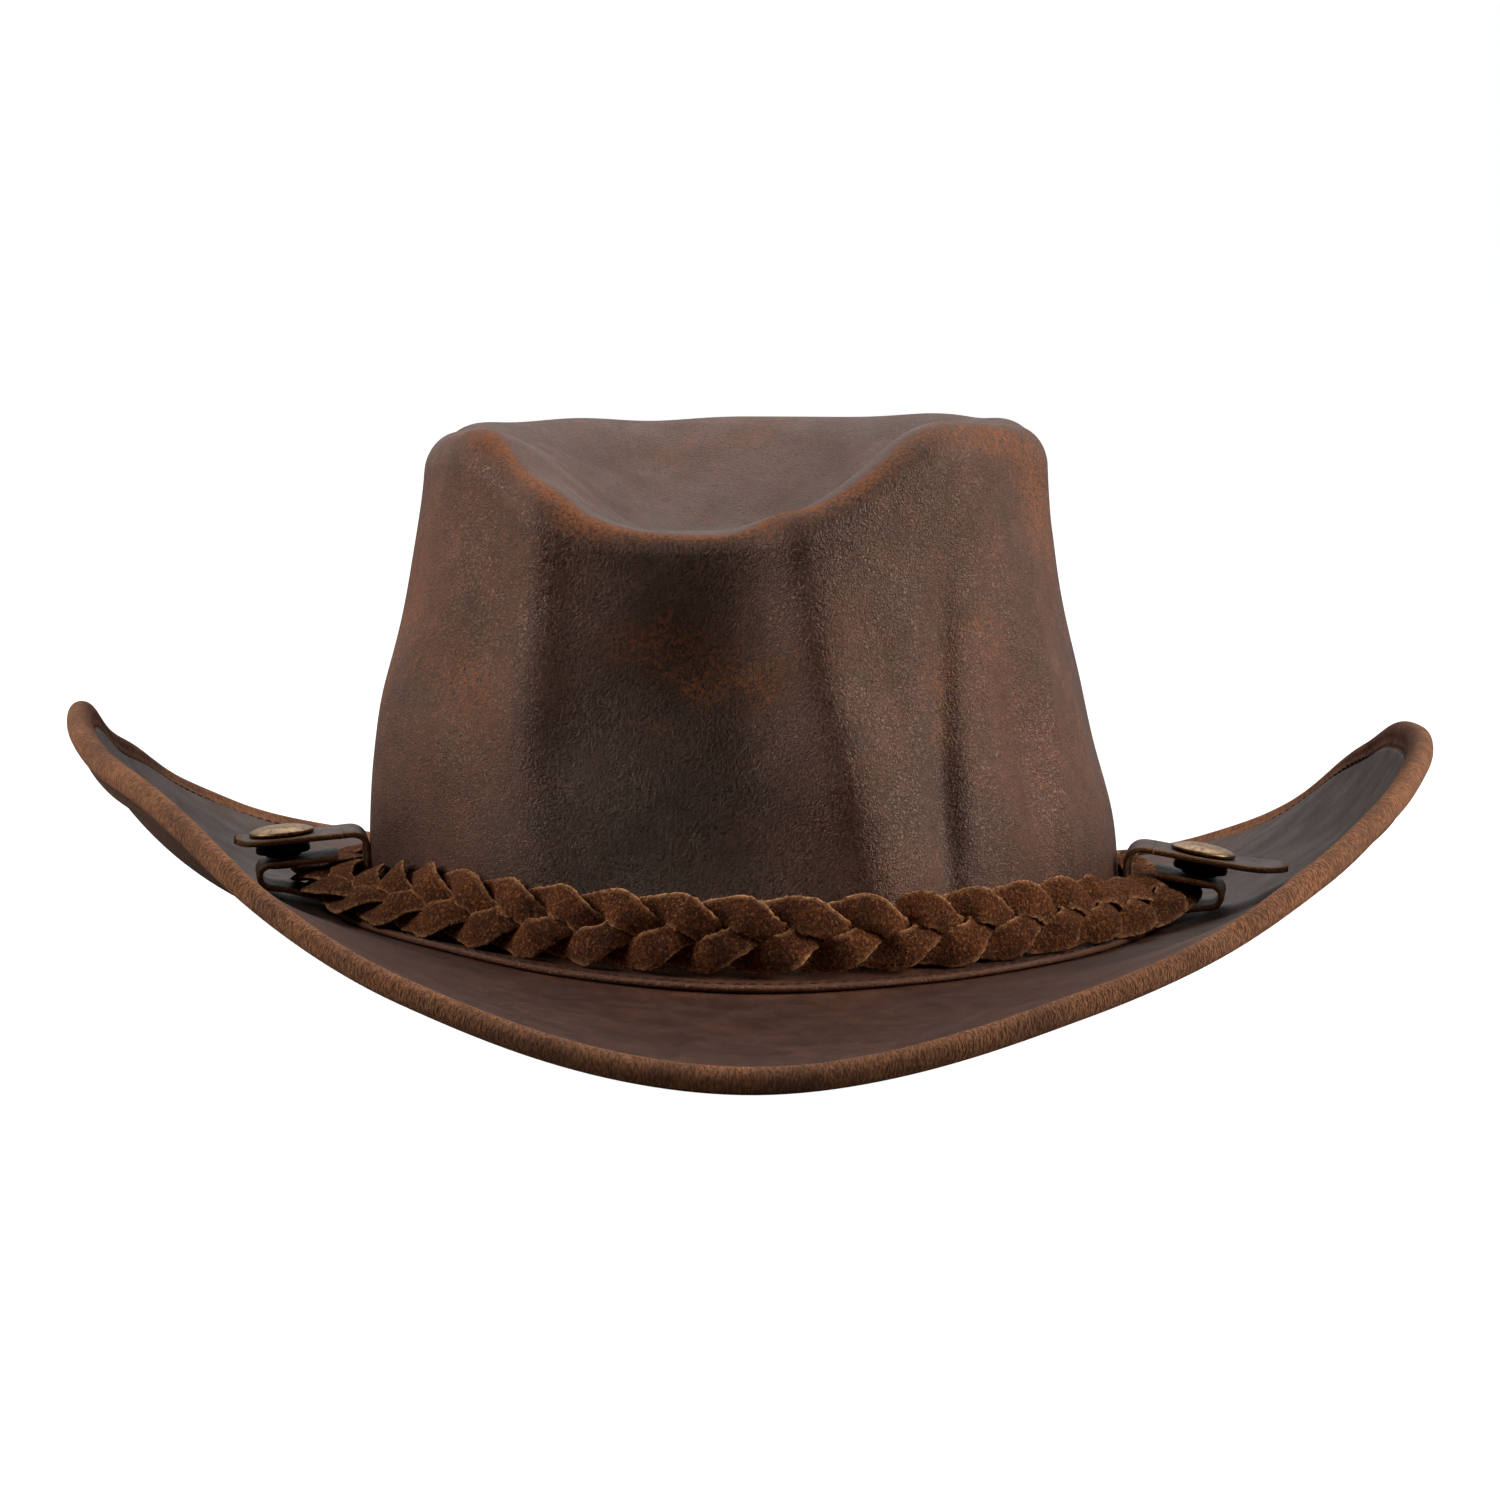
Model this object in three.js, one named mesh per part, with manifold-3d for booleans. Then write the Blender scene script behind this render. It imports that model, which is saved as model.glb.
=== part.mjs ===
// Moulded leather cowboy hat: pinched, dished crown, wired brim curled up at the sides, plaited
// suede band and a press-stud keeper strap on each side.
// Millimetres. +Z is up, the front faces -Y, +X is the wearer's left. The brim rests on z = 0.
import * as THREE from 'three';
import Module from 'manifold-3d';

const wasm = await Module();
wasm.setup();

const TAU = 2 * Math.PI;
const DEG = Math.PI / 180;

// ---- driving dimensions ----
const SECTORS = 48; // stations round the head
const HEAD = { width: 88, length: 104 }; // half axes of the crown outside, where it meets the brim
const STAND = 13.6; // height of the crown's base above the table
const CENTRE = 0.5; // shift to the wearer's left that centres the brim over the origin
const LEATHER = 2;
const GAP = 0.25; // clearance between neighbouring pieces

// Mean slope of the brim every 22.5 degrees, from the front round by the wearer's left.
const BRIM_SLOPES = [-4.5, 5, 20, 31, 33, 25, 5, -4, -4.5, -4, 5, 21, 33, 32, 24, 5];
const BRIM = { reach: 86, curlEnds: 12, curlSides: 73, inner: -2, hem: 8, bead: 2.9 };
const SADDLE = 2.5; // drop of the crown's base at the front and back, below the sides
const WIRE = { radius: 0.85, tunnel: 1.25 };

const CREST = { height: 115, frontLift: 3, sideLift: 2, dip: 24, dipHalf: 57, dipTurn: -9 };
const TOP = { width: 72, length: 87, square: 2.8, frontSquare: 2, lean: -4, leanBy: 55 };
const SHOULDER = { start: 0.85, drop: 9, inset: 8, inDip: 0.55 }; // inDip: share of it left in the dip
const DISH = { floor: 88, reach: 0.75 };
const PINCH = { depth: 8, half: 34, turn: -9, height: 140 };
const FLANGE = { width: 10.5, thick: 1.4 };
const CROWN_LEVELS = [0.06, 0.22, 0.38, 0.54, 0.7, 0.84, 0.92, 1, 1.12, 1.3, 1.5, 1.75];

const SWEATBAND = { thick: 1.3, clear: 0.6, levels: [0, 0.06, 0.22, 0.3] };
const THREAD = { radius: 0.35, hem: 4.2, clear: 0.3 };

const PLAIT = { turns: 14, swing: 5.6, rise: 1.6, width: 3.6, thick: 0.9, clear: 0.9 };
const BAND_TILT = { ends: 12, sides: 76 };
const WRAP = { thick: 1.2, half: 9, clear: 0.8 };

const STRAP = { thick: 1.4, width: 18 };
// Turn from the front, slope of the strap, press stud to crown, and free end past the stud.
const KEEPERS = {
  left: { turn: 83, tilt: -9, out: 18, tip: 20 },
  right: { turn: -83, tilt: -6, out: 20.5, tip: 11 },
};
const SNAP = { height: 14.2, flapRise: 5.2, bore: 1.4 };
const FOLD = { radius: 2.7, room: 3.6 }; // outer fold of the strap, and how far past the stud it begins
const SNAP_SIDES = 14;

// ---- small helpers ----
const lerp = (a, b, k) => a + (b - a) * k;
const clamp01 = (x) => Math.min(1, Math.max(0, x));
const smooth = (x) => clamp01(x) ** 2 * (3 - 2 * clamp01(x));
const station = (i) => (TAU * i) / SECTORS;

function signedVolume(points, faces) {
  return faces.reduce((sum, [a, b, c]) => {
    const cross = new THREE.Vector3().crossVectors(points[b], points[c]);
    return sum + points[a].dot(cross) / 6;
  }, 0);
}

function solid(points, faces) {
  const outward = signedVolume(points, faces) > 0;
  const index = faces.flatMap(([a, b, c]) => (outward ? [a, b, c] : [a, c, b]));
  const geometry = new THREE.BufferGeometry();
  geometry.setAttribute('position', new THREE.Float32BufferAttribute(points.flatMap((p) => p.toArray()), 3));
  geometry.setIndex(index);
  return geometry;
}

// Joins equal rings of points. A closed loft returns to its first ring, an open one is capped.
function loft(rings, closed) {
  const size = rings[0].length;
  const faces = [];
  const spans = closed ? rings.length : rings.length - 1;
  for (let i = 0; i < spans; i++) {
    const a = i * size;
    const b = ((i + 1) % rings.length) * size;
    for (let j = 0; j < size; j++) {
      const k = (j + 1) % size;
      faces.push([a + j, b + j, b + k], [a + j, b + k, a + k]);
    }
  }
  if (!closed) {
    const last = (rings.length - 1) * size;
    for (let j = 1; j < size - 1; j++) {
      faces.push([0, j, j + 1], [last, last + j + 1, last + j]);
    }
  }
  return solid(rings.flat(), faces);
}

function toManifold(geometry) {
  const vertProperties = new Float32Array(geometry.attributes.position.array);
  const triVerts = new Uint32Array(geometry.index.array);
  return new wasm.Manifold(new wasm.Mesh({ numProp: 3, vertProperties, triVerts }));
}

function fromManifold(manifold) {
  const mesh = manifold.getMesh();
  const geometry = new THREE.BufferGeometry();
  geometry.setAttribute('position', new THREE.Float32BufferAttribute(mesh.vertProperties, 3));
  geometry.setIndex(Array.from(mesh.triVerts));
  return geometry;
}

const hat = new THREE.Group();

function add(name, geometry, color, roughness = 0.8, metalness = 0) {
  geometry.computeVertexNormals();
  const mesh = new THREE.Mesh(geometry, new THREE.MeshStandardMaterial({ color, roughness, metalness }));
  mesh.name = name;
  hat.add(mesh);
}

// ---- the shape of the brim ----
// A point `out` from the head oval along its outward normal, `up` above the crown's base.
function offHead(phi, out, up) {
  const normal = new THREE.Vector2(HEAD.length * Math.sin(phi), -HEAD.width * Math.cos(phi)).normalize();
  return new THREE.Vector3(
    HEAD.width * Math.sin(phi) + out * normal.x,
    -HEAD.length * Math.cos(phi) + out * normal.y,
    STAND + up - SADDLE * Math.cos(phi) ** 2,
  );
}

// Catmull-Rom curve through the slope stations, in degrees.
function meanSlope(phi) {
  const count = BRIM_SLOPES.length;
  const place = (((phi / TAU) % 1) + 1) % 1 * count;
  const first = Math.floor(place);
  const f = place - first;
  const [a, b, c, d] = [-1, 0, 1, 2].map((k) => BRIM_SLOPES[(first + k + count) % count]);
  return b + 0.5 * f * (c - a + f * (2 * a - 5 * b + 4 * c - d + f * (3 * (b - c) + d - a)));
}

// A point of the brim: `s` outward along the leather from the crown, `n` above its middle.
function onBrim(phi, s, n) {
  const curl = lerp(BRIM.curlEnds, BRIM.curlSides, Math.sin(phi) ** 2);
  const start = (meanSlope(phi) - curl / 2) * DEG;
  const half = ((curl * s) / BRIM.reach / 2) * DEG;
  const chord = Math.abs(half) < 1e-6 ? s : (s * Math.sin(half)) / half;
  const end = start + 2 * half;
  const out = chord * Math.cos(start + half) - n * Math.sin(end);
  return offHead(phi, out, chord * Math.sin(start + half) + n * Math.cos(end));
}

const circle = (s, n, radius, degrees) => degrees.map((a) => [
  s + radius * Math.cos(a * DEG),
  n + radius * Math.sin(a * DEG),
]);

// The leather runs out, rolls over the wire tunnel and is turned back under as a hem.
function brimSection() {
  const { reach, inner, hem, bead } = BRIM;
  const face = LEATHER / 2;
  const middle = -(face + GAP / 2);
  const flat = [inner, FLANGE.width, 22, 36, 51, 66, reach - hem];
  return [
    ...flat.map((s) => [s, face]),
    ...circle(reach, middle, bead, [134, 90, 45, 0, -45, -90, -134]),
    [reach - hem, middle * 2 - face],
    [reach - hem, -face - GAP],
    ...circle(reach, middle, WIRE.tunnel, [-174, -120, -60, 0, 60, 120, 174]),
    ...flat.reverse().map((s) => [s, -face]),
  ];
}

function ringRound(section) {
  const rings = [];
  for (let i = 0; i < SECTORS; i++) {
    rings.push(section.map(([s, n]) => onBrim(station(i), s, n)));
  }
  return loft(rings, true);
}

function threadRound(s) {
  const height = LEATHER / 2 + THREAD.radius + THREAD.clear;
  return ringRound(circle(s, height, THREAD.radius, [0, 90, 180, 270]));
}

function addBrim() {
  const wire = circle(BRIM.reach, -(LEATHER + GAP) / 2, WIRE.radius, [0, 60, 120, 180, 240, 300]);
  add('brim', ringRound(brimSection()), '#4a2f25');
  add('brim_wire', ringRound(wire), '#8d8f92', 0.4, 1);
  add('hem_thread', threadRound(BRIM.reach - THREAD.hem), '#2a1a14');
}

// ---- the shape of the crown ----
// How far the angle phi lies from a direction in degrees, either way round.
function turnFrom(phi, degrees) {
  const away = phi - degrees * DEG;
  return Math.abs(Math.atan2(Math.sin(away), Math.cos(away)));
}

// From 0 outside the dip at the front of the crest to 1 in its middle.
function dipShare(phi) {
  const away = Math.min(1, turnFrom(phi, CREST.dipTurn) / (CREST.dipHalf * DEG));
  return Math.cos((away ** 1.4 * Math.PI) / 2) ** 2;
}

// Level 0 is the foot of the wall, 1 the crest and 2 the middle of the dished top.
function crownPlan(phi, level) {
  const dip = dipShare(phi);
  const lift = CREST.frontLift * Math.cos(phi) + CREST.sideLift * Math.sin(phi);
  const crest = CREST.height + lift - CREST.dip * dip;
  const drop = SHOULDER.drop * lerp(1, SHOULDER.inDip, dip);
  const rise = clamp01(level / SHOULDER.start);
  const turn = (clamp01((level - SHOULDER.start) / (1 - SHOULDER.start)) * Math.PI) / 2;
  const wall = (crest - drop) * rise + drop * Math.sin(turn);
  const inward = Math.max(0, level - 1);
  const fall = (crest - DISH.floor) * smooth(inward / DISH.reach);
  const taper = smooth((wall / crest - 0.08) / 0.9);
  const inset = SHOULDER.inset * lerp(1, SHOULDER.inDip, dip) * (1 - Math.cos(turn));
  return { height: wall - fall, wall, taper, inset, keep: 1 - inward };
}

function onCrown(phi, level) {
  const { height, wall, taper, inset, keep } = crownPlan(phi, level);
  const [s, c] = [Math.sin(phi), Math.cos(phi)];
  const power = lerp(2, lerp(TOP.square, TOP.frontSquare, smooth(0.5 + c)), taper);
  const bulge = (Math.abs(s) ** power + Math.abs(c) ** power) ** (-1 / power);
  const width = lerp(HEAD.width, TOP.width, taper) - inset;
  const length = lerp(HEAD.length, TOP.length, taper) - inset;
  const front = Math.cos((clamp01(turnFrom(phi, PINCH.turn) / (PINCH.half * DEG)) * Math.PI) / 2) ** 2;
  const pinch = PINCH.depth * front * Math.sin(Math.PI * clamp01(wall / PINCH.height)) ** 0.7 * keep;
  return new THREE.Vector3(
    width * s * bulge * keep + TOP.lean * smooth(wall / TOP.leanBy),
    -length * c * bulge * keep + pinch,
    STAND + height - SADDLE * c * c * Math.max(0, 1 - level),
  );
}

function insideCrown(phi, level, depth) {
  const step = 1e-3;
  const round = onCrown(phi + step, level).sub(onCrown(phi - step, level));
  const along = onCrown(phi, level + step).sub(onCrown(phi, level - step));
  const normal = round.cross(along).normalize();
  return onCrown(phi, level).addScaledVector(normal, -depth);
}

// The wall turns out at its foot into a flange that is sewn down on the brim.
function addCrown() {
  const low = LEATHER / 2 + GAP;
  const high = low + FLANGE.thick;
  const rings = [];
  for (let i = 0; i < SECTORS; i++) {
    const phi = station(i);
    rings.push([
      onBrim(phi, FLANGE.width, high),
      onBrim(phi, 0.2, high),
      ...CROWN_LEVELS.map((level) => onCrown(phi, level)),
      ...CROWN_LEVELS.toReversed().map((level) => insideCrown(phi, level, LEATHER)),
      onBrim(phi, BRIM.inner, low),
      onBrim(phi, FLANGE.width, low),
    ]);
  }
  const size = rings[0].length;
  const points = rings.flat();
  const outerPole = points.push(onCrown(0, 2)) - 1;
  const innerPole = points.push(onCrown(0, 2).setZ(STAND + DISH.floor - LEATHER)) - 1;
  const lastOuter = 1 + CROWN_LEVELS.length;
  const faces = [];
  for (let i = 0; i < SECTORS; i++) {
    const a = i * size;
    const b = ((i + 1) % SECTORS) * size;
    for (let j = 0; j < size; j++) {
      const k = (j + 1) % size;
      if (j !== lastOuter) {
        faces.push([a + j, b + j, b + k], [a + j, b + k, a + k]);
      }
    }
    faces.push([a + lastOuter, b + lastOuter, outerPole], [b + lastOuter + 1, a + lastOuter + 1, innerPole]);
  }
  add('crown', solid(points, faces), '#4b3029');
  add('crown_thread', threadRound(FLANGE.width + 2 * THREAD.radius), '#2a1a14');
}

function addSweatband() {
  const rings = [];
  for (let i = 0; i < SECTORS; i++) {
    const phi = station(i);
    const outer = LEATHER + SWEATBAND.clear;
    rings.push([
      ...SWEATBAND.levels.map((level) => insideCrown(phi, level, outer)),
      ...SWEATBAND.levels.toReversed().map((level) => insideCrown(phi, level, outer + SWEATBAND.thick)),
    ]);
  }
  add('sweatband', loft(rings, true), '#7a5a40');
}

// ---- the plaited band ----
// Point of the band's section: `across` up its width and `over` outward through its thickness.
// The band leans on the crown's wall; at the sides it lies down to pass through the keepers.
function onBand(phi, across, over) {
  const side = Math.abs(Math.sin(phi));
  const back = Math.max(0, -Math.cos(phi)) ** 12;
  const tilt = lerp(BAND_TILT.ends, BAND_TILT.sides, side ** 6) * DEG;
  const halfWidth = PLAIT.swing + PLAIT.width / 2;
  const halfThick = PLAIT.rise + PLAIT.thick / 2;
  const clear = PLAIT.clear + 1.3 * (WRAP.thick + WRAP.clear) * back;
  const lift = (STRAP.thick + 2 * GAP) * smooth((side - 0.93) / 0.04);
  const reachOut = Math.hypot(halfWidth * Math.sin(tilt), halfThick * Math.cos(tilt));
  const reachUp = Math.hypot(halfWidth * Math.cos(tilt), halfThick * Math.sin(tilt));
  const flange = LEATHER / 2 + GAP + FLANGE.thick;
  const under = Math.max(flange, onBrim(phi, 2 * reachOut + clear, flange).z - offHead(phi, 0, 0).z);
  return offHead(
    phi,
    clear + lift * 0.9 + reachOut - across * Math.sin(tilt) + over * Math.cos(tilt),
    under + clear / 2 + lift + reachUp + across * Math.cos(tilt) + over * Math.sin(tilt),
  );
}

// A flat three-strand plait: each strand swings from edge to edge and lies on top as it turns inward.
function strand(phase) {
  const perTurn = 6;
  const steps = PLAIT.turns * perTurn - 1;
  const rings = [];
  for (let i = 0; i <= steps; i++) {
    const t = (TAU * (i + 0.5)) / perTurn;
    const phi = Math.PI + t / PLAIT.turns;
    const speed = onBand(phi + 0.01, 0, 0).distanceTo(onBand(phi - 0.01, 0, 0)) / 0.02;
    const across = PLAIT.swing * Math.sin(t + phase);
    const over = -PLAIT.rise * Math.sin(2 * (t + phase));
    const lean = Math.atan2(PLAIT.swing * Math.cos(t + phase) * PLAIT.turns, speed);
    rings.push([[-1, -1], [1, -1], [1, 1], [-1, 1]].map(([w, h]) => {
      const half = (PLAIT.width / 2) * w;
      return onBand(
        phi - (half * Math.sin(lean)) / speed,
        across + half * Math.cos(lean),
        over + (PLAIT.thick / 2) * h,
      );
    }));
  }
  return loft(rings, false);
}

// A short suede sleeve at the back hides the joined ends of the plait.
function bandWrap() {
  const inner = [PLAIT.swing + PLAIT.width / 2 + WRAP.clear, PLAIT.rise + PLAIT.thick / 2 + WRAP.clear];
  const ends = [-1, 1].map((end) => Math.PI + (end * WRAP.half) / HEAD.width);
  const rings = [];
  for (let i = 0; i < 12; i++) {
    const a = (TAU * i) / 12;
    const corner = (grow) => [
      (inner[0] + grow) * Math.sign(Math.cos(a)) * Math.abs(Math.cos(a)) ** 0.4,
      (inner[1] + grow) * Math.sign(Math.sin(a)) * Math.abs(Math.sin(a)) ** 0.4,
    ];
    const [outer, hole] = [corner(WRAP.thick), corner(0)];
    rings.push([
      onBand(ends[0], ...outer), onBand(ends[1], ...outer),
      onBand(ends[1], ...hole), onBand(ends[0], ...hole),
    ]);
  }
  return loft(rings, true);
}

function addBand() {
  ['a', 'b', 'c'].forEach((letter, i) => {
    add(`plait_strand_${letter}`, strand((TAU * i) / 3), ['#6f4526', '#7a4c2a', '#65401f'][i], 1);
  });
  add('plait_wrap', bandWrap(), '#5d3a22', 1);
}

// ---- the keeper straps ----
// A keeper is drawn in its own frame: x outward from the crown, z up from the crown's base.
// Its strap slopes down outward: `along` the middle layer from the crown, `rise` above it.
function onStrap({ tilt }, along, rise) {
  const [c, s] = [Math.cos(tilt * DEG), Math.sin(tilt * DEG)];
  return [along * c - rise * s, SNAP.height + along * s + rise * c];
}

// A flat strap that follows a line of points.
function strapAlong(line) {
  const { thick, width } = STRAP;
  const rings = line.map(([x, z], i) => {
    const [x0, z0] = line[Math.max(0, i - 1)];
    const [x1, z1] = line[Math.min(line.length - 1, i + 1)];
    const length = Math.hypot(x1 - x0, z1 - z0);
    const [nx, nz] = [(-(z1 - z0) / length) * (thick / 2), ((x1 - x0) / length) * (thick / 2)];
    return [
      new THREE.Vector3(x - nx, -width / 2, z - nz), new THREE.Vector3(x + nx, -width / 2, z + nz),
      new THREE.Vector3(x + nx, width / 2, z + nz), new THREE.Vector3(x - nx, width / 2, z - nz),
    ];
  });
  return loft(rings, false);
}

const arc = (x, z, radius, from, to, steps) => Array.from({ length: steps + 1 }, (_, i) => {
  const a = lerp(from, to, i / steps) * DEG;
  return [x + radius * Math.cos(a), z + radius * Math.sin(a)];
});

// From the fold by the crown, down behind the plait, out under it and back over it.
function loopLine(keeper) {
  const top = onStrap(keeper, 6.6, SNAP.flapRise);
  const turnAt = keeper.out + FOLD.room;
  const [foldX, foldZ] = onStrap(keeper, turnAt, -FOLD.radius);
  return [
    top,
    ...arc(4.5, top[1] - 2.9, 3.3, 90, 180, 4),
    [1.2, 6.6],
    ...arc(3.5, 6, 2.3, 190, 265, 3),
    [12, 4.2],
    [foldX - 3.5, foldZ - FOLD.radius - 0.2],
    ...arc(foldX, foldZ, FOLD.radius, -80, 80 + keeper.tilt, 5),
    onStrap(keeper, 8, 0),
  ];
}

const flapLine = (keeper) => [
  onStrap(keeper, 6.9, SNAP.flapRise),
  onStrap(keeper, keeper.out, SNAP.flapRise),
  onStrap(keeper, keeper.out + 8.5, SNAP.flapRise),
  onStrap(keeper, keeper.out + lerp(8.5, keeper.tip, 0.4), SNAP.flapRise + keeper.tip * 0.01),
  onStrap(keeper, keeper.out + keeper.tip, SNAP.flapRise + keeper.tip * 0.06),
];

// A turned metal piece, drawn as [radius, height above the strap's middle layer].
function turned(profile, keeper) {
  const points = profile.map(([r, h]) => new THREE.Vector2(r, h));
  const lathe = new THREE.LatheGeometry(points, SNAP_SIDES);
  const [x, z] = onStrap(keeper, keeper.out, 0);
  lathe.rotateX(Math.PI / 2);
  lathe.rotateY(-keeper.tilt * DEG);
  return lathe.translate(x, 0, z);
}

function punched(strap, keeper, from, to) {
  const [x, z] = onStrap(keeper, keeper.out, 0);
  const hole = wasm.Manifold.cylinder(to - from, SNAP.bore, SNAP.bore, SNAP_SIDES)
    .translate([0, 0, from])
    .rotate([0, -keeper.tilt, 0])
    .translate([x, 0, z]);
  return fromManifold(toManifold(strap).subtract(hole));
}

const SNAP_PARTS = {
  post: [[0, -1.7], [4.4, -1.7], [4.6, -1.3], [4.4, -0.9], [1.1, -0.9], [1.1, 1.6], [0, 1.6]],
  stud: [[0, 2.3], [1.3, 2.3], [1.3, 0.9], [4, 0.9], [4, 1.5], [1.8, 1.5], [1.9, 2.4], [1.5, 2.8], [0, 2.8]],
  socket: [[2.6, 1.7], [6, 1.7], [6.3, 2], [6.3, 4], [6, 4.3], [1.4, 4.3], [1.4, 3], [2.6, 3], [2.6, 1.7]],
  cap: [[0, 3.7], [1.1, 3.7], [1.1, 6.1], [7.3, 6.1], [7.6, 6.4], [7, 7.1], [4.6, 7.8], [0, 8.2]],
};

function addKeeper(side, keeper) {
  const place = (geometry) => {
    const foot = offHead(keeper.turn * DEG, 0, 0);
    const outward = offHead(keeper.turn * DEG, 1, 0).sub(foot);
    geometry.rotateZ(Math.atan2(outward.y, outward.x));
    return geometry.translate(foot.x, foot.y, foot.z);
  };
  const snap = (piece, color, roughness) => {
    add(`${side}_snap_${piece}`, place(turned(SNAP_PARTS[piece], keeper)), color, roughness, 1);
  };
  add(`${side}_keeper_loop`, place(punched(strapAlong(loopLine(keeper)), keeper, -2, 2)), '#4d3424');
  add(`${side}_keeper_flap`, place(punched(strapAlong(flapLine(keeper)), keeper, 3, 7)), '#4d3424');
  snap('cap', '#8c6f42', 0.35);
  snap('socket', '#26211d', 0.4);
  snap('stud', '#2b2622', 0.4);
  snap('post', '#2b2622', 0.4);
}

addCrown();
addBrim();
addSweatband();
addBand();
addKeeper('left', KEEPERS.left);
addKeeper('right', KEEPERS.right);
hat.children.forEach((mesh) => mesh.geometry.translate(CENTRE, 0, 0));

export default hat;
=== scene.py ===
"""Looks of the leather cowboy hat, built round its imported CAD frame.

Formulas are in millimetres, in the CAD's frame: +Z up, the front faces -Y, +X is the wearer's
left. Angles named phi run round the head from the front by the wearer's left. Meshes are written
in metres.
"""

import math

import bpy
import numpy as np
from mathutils import Matrix, Vector


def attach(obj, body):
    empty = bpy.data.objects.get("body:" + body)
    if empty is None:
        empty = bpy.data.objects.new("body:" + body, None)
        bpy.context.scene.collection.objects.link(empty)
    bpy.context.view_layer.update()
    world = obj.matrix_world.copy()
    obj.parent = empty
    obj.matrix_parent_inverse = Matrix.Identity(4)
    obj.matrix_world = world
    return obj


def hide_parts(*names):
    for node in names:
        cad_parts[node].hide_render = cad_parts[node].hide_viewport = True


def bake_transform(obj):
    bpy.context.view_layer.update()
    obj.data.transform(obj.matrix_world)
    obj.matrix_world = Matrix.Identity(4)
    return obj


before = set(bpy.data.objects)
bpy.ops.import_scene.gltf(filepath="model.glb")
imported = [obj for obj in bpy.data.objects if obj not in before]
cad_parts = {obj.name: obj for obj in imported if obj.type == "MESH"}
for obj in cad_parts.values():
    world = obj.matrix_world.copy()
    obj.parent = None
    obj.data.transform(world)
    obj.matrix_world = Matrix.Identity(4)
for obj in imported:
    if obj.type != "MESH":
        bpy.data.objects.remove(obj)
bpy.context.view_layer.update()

MM = 0.001
TAU = 2 * math.pi

# ---- driving dimensions, the same as the CAD's ----
HEAD = {"width": 88, "length": 104}
STAND = 13.6
CENTRE = 0.5
LEATHER = 2
GAP = 0.25

BRIM_SLOPES = [-4.5, 5, 20, 31, 33, 25, 5, -4, -4.5, -4, 5, 21, 33, 32, 24, 5]
BRIM = {"reach": 86, "curl_ends": 12, "curl_sides": 73, "inner": -2, "hem": 8, "bead": 2.9}
SADDLE = 2.5
TUNNEL = 1.25
SEAM = {"hem": 4.2, "flange": 2.2}

CREST = {"height": 115, "front_lift": 3, "side_lift": 2, "dip": 24, "dip_half": 57, "dip_turn": -9}
TOP = {"width": 72, "length": 87, "square": 2.8, "front_square": 2.0, "lean": -4, "lean_by": 55}
SHOULDER = {"start": 0.85, "drop": 9, "inset": 8, "in_dip": 0.55}
DISH = {"floor": 88, "reach": 0.75}
PINCH = {"depth": 8, "half": 34, "turn": -9, "height": 140}
FLANGE = {"width": 10.5, "thick": 1.4}
SWEATBAND = {"thick": 1.3, "clear": 0.6, "top": 0.3}

PLAIT = {"turns": 14, "swing": 4.9, "rise": 1.5, "width": 7.4, "thick": 1.1, "pinch": 0.12}
BAND = {"half_width": 8.4, "half_thick": 2.4, "clear": 0.5, "tilt_ends": 12, "tilt_sides": 82}
WRAP = {"thick": 1.2, "half": 9, "clear": 0.5}

STRAP = {"thick": 1.4, "width": 18}
KEEPERS = {
    "left": {"turn": 83, "tilt": -9, "out": 18, "tip": 20},
    "right": {"turn": -83, "tilt": -6, "out": 20.5, "tip": 11},
}
SNAP = {"height": 14.2, "flap_rise": 5.2}
FOLD = {"radius": 2.7, "room": 3.6}

# ---- dimensions that only the look has ----
# The crest settles at the two sides. The angles are in radians.
SAG = {"depth": 1.8, "turn": 1.45, "half": 0.4}
STITCH = {"pitch": 3.4, "gap": 0.1, "thin": 0.14, "swell": 0.2, "sunk": 0.45, "bow": 0.4}
# Frayed hairs on the plait: share of the rings that carry one, scatter of their direction, least
# length, mean extra length and radius.
HAIR = {"share": 0.6, "scatter": 0.35, "least": 0.15, "more": 0.28, "radius": 0.09}

# ---- fineness of the meshes ----
STATIONS = 384
RINGS_PER_TURN = 76
SNAP_SIDES = 56
# The noise of the rim's nap is laid round a circle of this radius, a little smaller than the rim.
RIM_RADIUS = 165


# ---- helpers ----
def smooth(x):
    x = np.clip(x, 0, 1)
    return x * x * (3 - 2 * x)


def lerp(a, b, k):
    return a + (b - a) * k


def bell(x):
    return np.exp(-x * x)


def turn_between(a, b):
    """The angle from b to a, between -pi and pi."""
    return np.arctan2(np.sin(a - b), np.cos(a - b))


def lumps(points, size, seed):
    """Soft random relief, about -1 to 1, with bumps about `size` millimetres apart."""
    rng = np.random.default_rng(seed)
    total = 0
    waves = 14
    for _ in range(waves):
        direction = rng.normal(size=3)
        direction *= TAU / (size * rng.uniform(0.7, 1.6)) / np.linalg.norm(direction)
        total = total + np.sin(points @ direction + rng.uniform(0, TAU))
    return total / math.sqrt(waves)


def make_mesh(name, points, faces, attributes=None, sharp=False):
    mesh = bpy.data.meshes.new(name)
    mesh.from_pydata((np.asarray(points).reshape(-1, 3) * MM).tolist(), [], faces)
    mesh.validate()
    for key, values in (attributes or {}).items():
        layer = mesh.attributes.new(key, "FLOAT", "POINT")
        layer.data.foreach_set("value", np.asarray(values, np.float32).ravel())
    if not sharp:
        mesh.shade_smooth()
    piece = bpy.data.objects.new(name, mesh)
    bpy.context.scene.collection.objects.link(piece)
    return piece


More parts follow.
